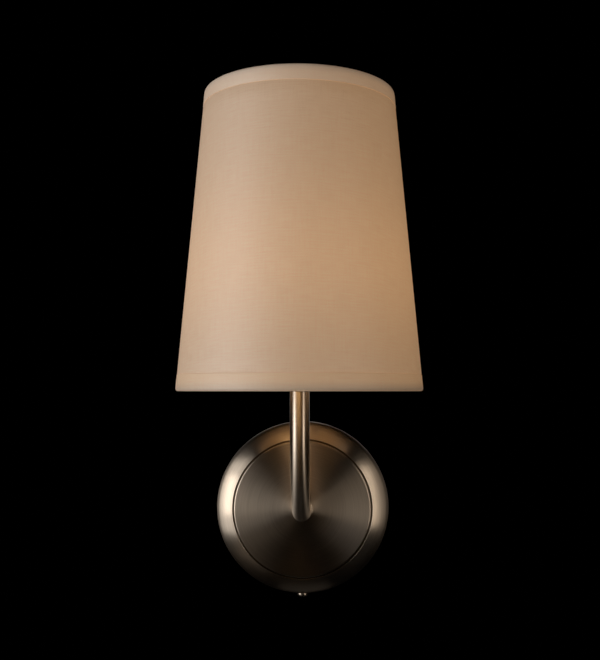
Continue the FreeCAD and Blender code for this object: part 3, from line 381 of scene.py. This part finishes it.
# Nickel on a spun plate, brushed as it turned: soft fans of light that open from the middle, a
# broad highlight down each side of the rim, and painted shade, a darker ring, in the groove.
spun_nickel = brushed("nickel_brushed_spun_plate", ("#C2B2A0", "#E2D3C1"), roughness=0.3,
                      anisotropy=0.92, bump=0.1, line=PLATE_BRUSHING, groove_shade="#8E7D69")
# Nickel on a drawn tube, brushed round it: two soft bright lines that run its whole length.
tube_nickel = brushed("nickel_brushed_tube", ("#D6C6B3", "#E5D6C4"), roughness=0.37,
                      anisotropy=0.88, bump=0.02, line=TUBE_BRUSHING)
# Nickel plated on a turned screw: small hard points of light.
screw_nickel = mottled("nickel_plated_screw", ("#A69A8B", "#B9AD9E"), patch=2.0,
                       roughness=(0.24, 0.32), bump=0.05, Metallic=1.0)
# Nickel plated on a turned washer: a bright, slightly clouded ring.
washer_nickel = mottled("nickel_plated_washer", ("#CDBFAE", "#E0D4C6"), patch=2.0,
                        roughness=(0.22, 0.32), bump=0.1, Metallic=1.0)
# Styrene, rolled into sheet: the shade's smooth inside, cream with a faint painted glow for the
# lamp's light.
backing_white = mottled("styrene_rolled_sheet", ("#EDE7DA", "#F6F1E6"), patch=8.0,
                        roughness=(0.45, 0.6), bump=0.1, Emission_Color=colour("#FFC68C"),
                        Emission_Strength=0.04)
# Steel wire, powder coated: white with the coating's slight orange peel.
wire_white = mottled("steel_powder_coated_white", ("#DCDAD3", "#EDEBE5"), patch=1.5,
                     roughness=(0.4, 0.55), bump=0.4)
# Steel, zinc plated: a cool cloudy grey.
zinc = mottled("steel_zinc_plated", ("#B8BAB6", "#D3D3CC"), patch=3.0,
               roughness=(0.28, 0.42), bump=0.15, Metallic=1.0)
# Brass, drawn and left bare: a warm yellow shine in lighter and darker patches.
brass = mottled("brass_drawn", ("#B8924A", "#D8B56A"), patch=2.5,
                roughness=(0.22, 0.36), bump=0.1, Metallic=1.0)
# Nylon, moulded without a dye: milky, between gloss and dull.
nylon = mottled("nylon_moulded_natural", ("#DDD9CB", "#EEEADD"), patch=4.0,
                roughness=(0.35, 0.5), bump=0.15)
# Polyethylene, moulded black: dull, with a fine grain from the mould.
black_plastic = mottled("polyethylene_moulded_black", ("#101010", "#1C1B1A"), patch=2.0,
                        roughness=(0.45, 0.6), bump=0.3)
# Silicone, extruded as the leads' sleeves: brown for live and blue for neutral, slightly waxy.
brown_sleeve = mottled("silicone_extruded_brown", ("#4A2412", "#5E3018"), patch=2.0,
                       roughness=(0.4, 0.5), bump=0.15)
blue_sleeve = mottled("silicone_extruded_blue", ("#1C4690", "#2A5AAE"), patch=2.0,
                      roughness=(0.4, 0.5), bump=0.15)
# Thermoplastic, moulded white: the holder's clean gloss, with soft clouds where it flowed.
holder_white = mottled("thermoplastic_moulded_white", ("#E6E2D6", "#F2EFE6"), patch=5.0,
                       roughness=(0.22, 0.34), bump=0.08)
# Aluminium, drawn and rolled into a screw cap: bright and faintly clouded.
cap_metal = mottled("aluminium_rolled_cap", ("#BDBBB6", "#DAD8D3"), patch=1.5,
                    roughness=(0.2, 0.34), bump=0.15, Metallic=1.0)
# Black glass, pressed into the cap's end: nearly black with a wet shine.
cap_glass = mottled("black_glass_pressed", ("#060608", "#101014"), patch=1.0,
                    roughness=(0.08, 0.2), bump=0.05)
# Molybdenum, drawn into wire: a dull dark grey.
filament_metal = mottled("molybdenum_drawn_wire", ("#5E5C58", "#7C7973"), patch=0.5,
                         roughness=(0.35, 0.5), bump=0.2, Metallic=1.0)
# Opal glass, blown: smooth, and lit evenly from within in the lamp's warm white.
opal_glass = mottled("opal_glass_blown_lit", ("#F6F1E8", "#FCF9F2"), patch=10.0,
                     roughness=(0.1, 0.16), bump=0.02, Emission_Color=colour("#FFCE98"),
                     Emission_Strength=0.9)
# Soda glass, drawn and pinched: clear with bright edges.
clear_glass = mottled("soda_glass_drawn", ("#FBFBF8", "#FFFFFF"), patch=10.0,
                      roughness=(0.0, 0.03), bump=0.01, Transmission_Weight=1.0, IOR=1.5)

FINISHES = {
    "brushed_nickel": washer_nickel, "screw_nickel": screw_nickel, "shade_fabric": cover_cotton,
    "trim_fabric": cover_cotton, "frame_wire": wire_white, "zinc_steel": zinc,
    "earth_brass": brass, "contact_brass": brass, "block_nylon": nylon,
    "bush_plastic": black_plastic, "live_sleeve": brown_sleeve,
    "neutral_sleeve": blue_sleeve, "holder_plastic": holder_white,
    "bulb_glass": opal_glass, "bulb_metal": cap_metal, "bulb_insulator": cap_glass,
    "stem_glass": clear_glass, "filament_metal": filament_metal,
}
# The CAD's own pieces get theirs first.
for row in frame["record"]["subparts"]:
    slots = frame["nodes"][row["node"]].data.materials
    slots.clear()
    slots.append(FINISHES[row["material_slot"]])


# ---- shade -----------------------------------------------------------------------------------

UNDER_BAND = 0.1           # between the edge of a band and where the cover starts to swell
SWELL_RISE = 0.5           # height over which it swells out between the bands
COVER_ROWS = 20
COVER_SWELL = 0.26


def skin(depth, thick, swell=0.0):
    """Outline of a thin wall at this depth inside the cone; swell is how much nearer to the
    outside it lies between the bands."""
    low, high = SHADE_FOOT + COVER_DEPTH, SHADE_RIM - COVER_DEPTH
    free_low, free_high = FREE_FOOT + UNDER_BAND, FREE_RIM - UNDER_BAND
    step = (free_high - free_low - 2 * SWELL_RISE) / COVER_ROWS
    free = [(free_low + SWELL_RISE + step * i, swell) for i in range(COVER_ROWS + 1)]
    levels = [(low, 0), (free_low, 0), *free, (free_high, 0), (high, 0)]
    inside = [(cone(level) - depth - thick, level) for level, _ in reversed(levels)]
    return [(cone(level) - depth + out, level) for level, out in levels] + inside


cover = turned("shade_cover_cloth", cover_cotton, "shade", UPRIGHT,
               skin(COVER_DEPTH, COVER_SHEET, COVER_SWELL), steps=256,
               stands_for=["shade_cover"], lay=lay_flat)
backing = turned("shade_backing_sheet", backing_white, "shade", UPRIGHT,
                 skin(COVER_DEPTH + COVER_SHEET, BACKING_SHEET), steps=256, lay=lay_flat)

FOLD_DEPTH = 4.76          # from the outside of a band to its end inside the shade
FOLD_ROUND = 1.5           # rounding where it turns in
FOLD_END = 1.6             # how far its end stands off the rim, besides the cloth
BEAD = 0.2                 # half the thickness of its edge, which is turned under


def band(name, finish, stands_for, foot, up, tall, outer_round):
    """A folded cloth band over one rim; up is 1 at the lower rim and -1 at the upper one."""
    def level(distance):
        return foot + distance * up

    inner = cone(foot) - FOLD_DEPTH * SLANT
    outer = (cone(level(outer_round)) - outer_round * SLANT, level(outer_round))
    turn_in = (inner + FOLD_ROUND, level(FOLD_ROUND))
    fold_end = level(BAND_SHEET + FOLD_END)
    bead_level = level(tall - BEAD)
    bead_radius = cone(bead_level) - BEAD * SLANT
    lean = math.radians(LEAN)
    quarter = 90 * up
    round_rim = quarter + LEAN
    runs = [
        (bead_radius + BEAD, bead_level),
        (outer[0] + outer_round * math.cos(lean), outer[1] + outer_round * math.sin(lean)),
        (*outer, -round_rim, 10),
        (turn_in[0], foot),
        (*turn_in, -quarter, 8),
        (inner, fold_end),
        (inner + BAND_SHEET / 2, fold_end, -2 * quarter, 6),
        (inner + BAND_SHEET, turn_in[1]),
        (*turn_in, quarter, 6),
        (outer[0], level(BAND_SHEET)),
        (*outer, round_rim, 8),
        (bead_radius - BEAD, bead_level),
        (bead_radius, bead_level, -2 * quarter, 8),
    ]
    return turned(name, finish, "shade", UPRIGHT, runs, steps=256,
                  stands_for=[stands_for])


bottom_band = band("bottom_trim_band", bottom_cotton, "bottom_trim", SHADE_FOOT, 1,
                   BOTTOM_BAND, outer_round=1.7)
top_band = band("top_trim_band", top_cotton, "top_trim", SHADE_RIM, -1,
                TOP_BAND, outer_round=1.6)

SEAM_ANGLE = math.radians(7)
SEAM_STEPS = 12
SEAM_EDGE = 0.2            # rounding of the strip's long edges


def make_seam():
    """The strip down the back that covers the cover's joint, its long edges turned under."""
    bm, first, end = new_outline((cone(FREE_FOOT) - BAND_SHEET, FREE_FOOT),
                                 (cone(FREE_FOOT), FREE_FOOT), (cone(FREE_RIM), FREE_RIM),
                                 (cone(FREE_RIM) - BAND_SHEET, FREE_RIM))
    bm.edges.new((first, end))
    bmesh.ops.rotate(bm, verts=bm.verts, cent=(0, 0, 0),
                     matrix=Matrix.Rotation(math.pi / 2 - SEAM_ANGLE / 2, 3, "Z"))
    bmesh.ops.spin(bm, geom=bm.verts[:] + bm.edges[:], cent=(0, 0, 0), axis=(0, 0, 1),
                   angle=SEAM_ANGLE, steps=SEAM_STEPS)
    bmesh.ops.holes_fill(bm, edges=bm.edges[:], sides=4)
    bmesh.ops.recalc_face_normals(bm, faces=bm.faces)

    def long_and_outside(edge):
        one, other = edge.verts[0].co, edge.verts[1].co
        upright = abs(one.z - other.z) > SEAM_EDGE
        outside = math.hypot(one.x, one.y) > cone(one.z) - BAND_SHEET / 2
        return upright and outside and edge.calc_face_angle() > math.radians(60)

    bmesh.ops.bevel(bm, geom=[edge for edge in bm.edges if long_and_outside(edge)],
                    offset=SEAM_EDGE, offset_type="OFFSET", affect="EDGES", segments=3,
                    profile=0.5, material=-1)
    lay_thread(bm)
    return keep(bm, "shade_seam_strip", cover_cotton, "shade", UPRIGHT,
                ["shade_seam"])


seam = make_seam()


# ---- backplate -------------------------------------------------------------------------------

PLATE_RADIUS = 60.0
PLATE_HOLE = 5.15
DISC_FACE = 19.17          # level of the raised disc, the plate's furthest from the wall
DISC_BACK = 17.97
CORNER = (52.5, 6.8)       # centre of the bend next to the wall, outside and inside alike
CORNER_TURN = 48
CROWN = (38.52, -8.73)     # centre of the flatter bend up to the groove

turned("backplate_spun", spun_nickel, "root", FROM_WALL, [
    (PLATE_RADIUS, 0.0),
    (PLATE_RADIUS, CORNER[1]),
    (*CORNER, CORNER_TURN, 16),
    (*CROWN, 21.42, 24),
    (48.35, 17.78),                      # groove, 0.3 mm wider than the CAD's, so that it shows
    (48.3, 17.25),
    (47.3, 17.25),
    (47.2, 17.4),
    (47.2, 18.17),
    (46.2, 18.17, 90, 10),               # edge of the raised disc
    (30.0, DISC_FACE),
    (15.0, DISC_FACE),
    (PLATE_HOLE, DISC_FACE),
    (PLATE_HOLE, DISC_BACK),
    (46.0, DISC_BACK),
    (46.0, 17.42),
    (*CROWN, -26.04, 12),
    (*CORNER, -CORNER_TURN, 12),
    (58.8, 0.0),
], steps=256, stands_for=["backplate"])


# ---- arm -------------------------------------------------------------------------------------

TUBE_RADIUS, TUBE_WALL = 6.0, 1.0
BEND_START = 31.97         # distance from the wall
BEND_RADIUS = REACH - BEND_START
BEND_END = BEND_START + BEND_RADIUS * math.pi / 2      # length of tube up to there
TUBE_TOP = 86.0
NEAR_SEAM = 3.0            # radians; an angle round the tube beyond this is next to its seam


def make_arm():
    """The tube: straight out of the plate, a quarter bend, then up into the holder."""
    bm = bmesh.new()
    ring = bmesh.ops.create_circle(bm, segments=64, radius=TUBE_RADIUS)["verts"]
    bmesh.ops.rotate(bm, verts=ring, cent=(0, 0, 0), matrix=Matrix.Rotation(math.pi / 2, 3, "X"))
    bmesh.ops.translate(bm, verts=ring, vec=(0, -DISC_FACE, 0))

    def straight(edges, way, pieces):
        for _ in range(pieces):
            made = bmesh.ops.extrude_edge_only(bm, edges=edges)["geom"]
            edges = [item for item in made if isinstance(item, bmesh.types.BMEdge)
                     and all(vert in made for vert in item.verts)]
            verts = list({vert for edge in edges for vert in edge.verts})
            bmesh.ops.translate(bm, verts=verts, vec=Vector(way) / pieces)
        return edges

    edges = straight(bm.edges[:], (0, DISC_FACE - BEND_START, 0), pieces=4)
    made = bmesh.ops.spin(bm, geom=edges, cent=(0, -BEND_START, BEND_RADIUS), axis=(-1, 0, 0),
                          angle=math.pi / 2, steps=48)["geom_last"]
    edges = [item for item in made if isinstance(item, bmesh.types.BMEdge)]
    straight(edges, (0, 0, TUBE_TOP - BEND_RADIUS), pieces=6)
    bmesh.ops.recalc_face_normals(bm, faces=bm.faces)
    lay_along_tube(bm)
    bmesh.ops.solidify(bm, geom=bm.faces[:], thickness=TUBE_WALL)
    return keep(bm, "arm_bent_tube", tube_nickel, "root",
                Matrix.Scale(MM, 4), ["arm_tube"])


def lay_along_tube(bm):
    """Texture coordinates in metres: round the tube first, then along its middle line."""
    uv = bm.loops.layers.uv.new("cloth")
    for face in bm.faces:
        side = face.calc_center_median().x
        for loop in face.loops:
            spot = loop.vert.co
            out, down = -spot.y - BEND_START, BEND_RADIUS - spot.z
            if out < 0:
                run, over = -spot.y, spot.z
            elif down > 0:
                run = BEND_START + BEND_RADIUS * math.atan2(out, down)
                over = BEND_RADIUS - math.hypot(out, down)
            else:
                run, over = BEND_END - down, spot.y + REACH
            angle = math.atan2(spot.x, over)
            if abs(angle) > NEAR_SEAM and angle * side < 0:
                angle += math.copysign(math.tau, side)      # the face is on the other side
            loop[uv].uv = (angle * TUBE_RADIUS * MM, run * MM)


make_arm()

COLLAR_TOP = DISC_FACE + 3.5
turned("arm_collar_ring", tube_nickel, "root", FROM_WALL, [
    (6.05, DISC_FACE),
    (6.05, COLLAR_TOP - 0.2),
    (6.25, COLLAR_TOP),
    (6.4, COLLAR_TOP),
    (6.4, COLLAR_TOP - 0.6, -90, 8),
    (7.0, DISC_FACE),
], steps=96, stands_for=["arm_collar"])


# ---- canopy screws ---------------------------------------------------------------------------

SCREW_DEPTH = 5.0          # their distance from the wall
SLOT_HALF, SLOT_FLOOR = 0.5, 61.8
SLOT_SIDE = 0.02           # width that a side of the slot takes up


def cut_slot(bm):
    """The straight drive slot across a screw's head."""
    for cut, along in ((SLOT_HALF, 0), (SLOT_HALF - SLOT_SIDE, 0), (-SLOT_HALF, 0),
                       (SLOT_SIDE - SLOT_HALF, 0), (SLOT_FLOOR, 2)):
        way = Vector((0, 0, 0))
        way[along] = 1
        bmesh.ops.bisect_plane(bm, geom=bm.verts[:] + bm.edges[:] + bm.faces[:],
                               plane_co=way * cut, plane_no=way)
    for vert in bm.verts:
        if abs(vert.co.x) < SLOT_HALF - SLOT_SIDE / 2 and vert.co.z > SLOT_FLOOR:
            vert.co.z = SLOT_FLOOR


for word, turn in (("upper", 0), ("lower", math.pi)):
    place = (Matrix.Translation((0, -SCREW_DEPTH * MM, 0)) @ Matrix.Rotation(turn, 4, "X")
             @ Matrix.Scale(MM, 4))
    turned(f"canopy_screw_{word}", screw_nickel, "root", place, [
        (0.0, 52.0),
        (1.6, 52.0),
        (2.0, 52.4),
        (2.0, 60.0),
        (3.8, 60.0),
        (3.8, 60.2, 90, 3),
        (4.0, 61.0),
        (2.0, 61.0, 90, 10),
        (0.0, 63.0),
    ], steps=64, stands_for=["canopy_screws"], shape=cut_slot)


# ---- lamp and its holder ---------------------------------------------------------------------

def fine_side(radius, low, high, steps):
    """Points up a straight side, close enough together to bend into a thread."""
    return [(radius, low + (high - low) * i / steps) for i in range(steps + 1)]


def thread(pitch, depth, low, high, least):
    """Sinks a rounded screw thread into the skin between two levels, beyond a least radius."""
    def shape(bm):
        for vert in bm.verts:
            radius = math.hypot(vert.co.x, vert.co.y)
            if radius > least and low < vert.co.z < high:
                turn = math.atan2(vert.co.y, vert.co.x) / math.tau
                wave = 0.5 - 0.5 * math.cos(math.tau * ((vert.co.z - low) / pitch - turn))
                ends = min(1, (vert.co.z - low) / pitch, (high - vert.co.z) / pitch)
                share = 1 - depth * wave * ends / radius
                vert.co.x *= share
                vert.co.y *= share
    return shape


# The lamp's screw cap, 13.9 mm across: a rolled thread in thin sheet, then its skirt.
turned("bulb_cap_threaded", cap_metal, "bulb", UPRIGHT, [
    (6.6, 116.6),
    *fine_side(6.95, 116.6, 131.1, 56),
    (8.5, 135.6),
    (8.5, 137.3),
    (8.35, 137.6),
    (8.15, 137.6),
    (8.15, 135.6),
    *fine_side(6.6, 131.1, 116.85, 56),
], steps=96, stands_for=["bulb_cap"], crease=50,
    shape=thread(pitch=2.82, depth=0.5, low=117.0, high=130.8, least=5))

# The holder's sleeve: its outside thread, 28 mm across, takes the ring nut.
turned("holder_sleeve_threaded", holder_white, "root", UPRIGHT, [
    (10.95, 103.5),
    (11.95, 103.5),
    (11.95, 109.5),
    (16.6, 109.5),
    (16.6, 109.9, 90, 4),
    (17.0, 111.6),
    (16.6, 111.6, 90, 4),
    (14.0, 112.0),
    *fine_side(14.0, 112.4, 137.5, 100),
    (13.5, 138.0),
    (10.0, 138.0),
    (9.6, 137.6),
    (9.6, 130.0),
    (10.95, 130.0),
], steps=128, stands_for=["holder_sleeve"], crease=50,
    shape=thread(pitch=2.0, depth=0.8, low=112.3, high=137.6, least=13))


# ---- studio, in metres -----------------------------------------------------------------------

STUDIO_MIDDLE = (0, -0.06, 0.08)       # what the soft panels face, under the shade


def light_panel(name, place, target, width, height, watts, tint):
    """A soft light panel at this place, facing its target."""
    data = bpy.data.lights.new(name, "AREA")
    data.shape = "RECTANGLE"
    data.size = width
    data.size_y = height
    data.energy = watts
    data.color = colour(tint)[:3]
    panel = bpy.data.objects.new(name, data)
    panel.location = place
    aim = Vector(target) - panel.location
    panel.rotation_euler = aim.to_track_quat("-Z", "Y").to_euler()
    bpy.context.scene.collection.objects.link(panel)
    return panel


# Name, degrees from the front, distance, width, height, level, watts and tint.
for name, azimuth, distance, width, height, level, watts, tint in (
        ("left_softbox", -63, 1.3, 1.1, 1.3, 0.08, 5.4, "#FFFDFB"),
        ("left_core", -61, 1.25, 0.36, 0.6, 0.06, 2.3, "#FFFAF4"),
        ("right_softbox", 48, 1.3, 0.4, 0.95, 0.06, 2.7, "#FFF2E2"),
        ("low_fill", -40, 1.2, 0.9, 0.4, -0.75, 0.16, "#FFEEDC"),
        ("front_fill", -22, 1.6, 0.3, 0.8, 0.1, 0.1, "#FFDFB8"),
        ("back_fill_left", -172, 2.6, 1.2, 1.2, 0.5, 1.8, "#FFFFFF"),
        ("back_fill_right", 170, 2.6, 1.2, 1.2, 0.2, 1.2, "#FFFFFF")):
    turn = math.radians(azimuth)
    place = (math.sin(turn) * distance, STUDIO_MIDDLE[1] - math.cos(turn) * distance, level)
    light_panel(name, place, STUDIO_MIDDLE, width, height, watts, tint)

# The lamp's light that falls out of the shade onto the arm and the plate behind it.
spill = light_panel("lamp_spill", (-0.014, -0.138, 0.108), (0.01, -0.098, 0.04),
                    width=0.056, height=0.03, watts=0.0068, tint="#FFD195")
spill.data.spread = math.radians(110)
spill.visible_camera = False

# The photograph's background is black.
world = bpy.data.worlds.new("dark_studio")
world.use_nodes = True
world.node_tree.nodes["Background"].inputs[0].default_value = colour("#000000")
bpy.context.scene.world = world

# The floor is as far below as under a light on a wall, out of the camera's view.  Concrete,
# painted pale: dull, with slow changes of tone a third of a metre wide.
FLOOR_LEVEL, FLOOR_RADIUS = -2.6, 0.8
FLOOR_PATCHES = 3.0        # patches of tone to a metre
floor_paint, floor_tree, floor_shader = new_finish("concrete_painted_pale", Roughness=0.8)
floor_spot = node(floor_tree, "TexCoord").outputs["Object"]
floor_noise = node(floor_tree, "TexNoise", {"Vector": floor_spot, "Scale": FLOOR_PATCHES,
                                            "Detail": 4.0}).outputs["Fac"]
floor_tone = node(floor_tree, "Mix", {"Factor": floor_noise, MIX_LOW: colour("#C9C6C0"),
                                      MIX_HIGH: colour("#D4D1CB")}, data_type="RGBA")
floor_tree.links.new(floor_tone.outputs[MIX_RESULT], floor_shader.inputs["Base Color"])
bm = bmesh.new()
bmesh.ops.create_circle(bm, cap_ends=True, segments=96, radius=FLOOR_RADIUS)
bm.transform(Matrix.Translation((0, 0, FLOOR_LEVEL)))
floor_mesh = bpy.data.meshes.new("studio_floor")
bm.to_mesh(floor_mesh)
bm.free()
floor_mesh.materials.append(floor_paint)
floor = bpy.data.objects.new("studio_floor", floor_mesh)
bpy.context.scene.collection.objects.link(floor)

# The photograph was taken level, almost straight in front, at the height of the shade's foot.
camera_data = bpy.data.cameras.new("camera")
camera_data.sensor_width = 36
camera_data.lens = 50.67
camera_data.shift_x = -0.0356
camera_data.shift_y = 0.0909
camera = bpy.data.objects.new("camera", camera_data)
camera.location = (0.0145, -0.658, 0.08207)
camera.rotation_euler = (math.radians(90), 0, 0)
bpy.context.scene.collection.objects.link(camera)
bpy.context.scene.camera = camera
bpy.context.scene.view_settings.view_transform = "Standard"       # tones as they are
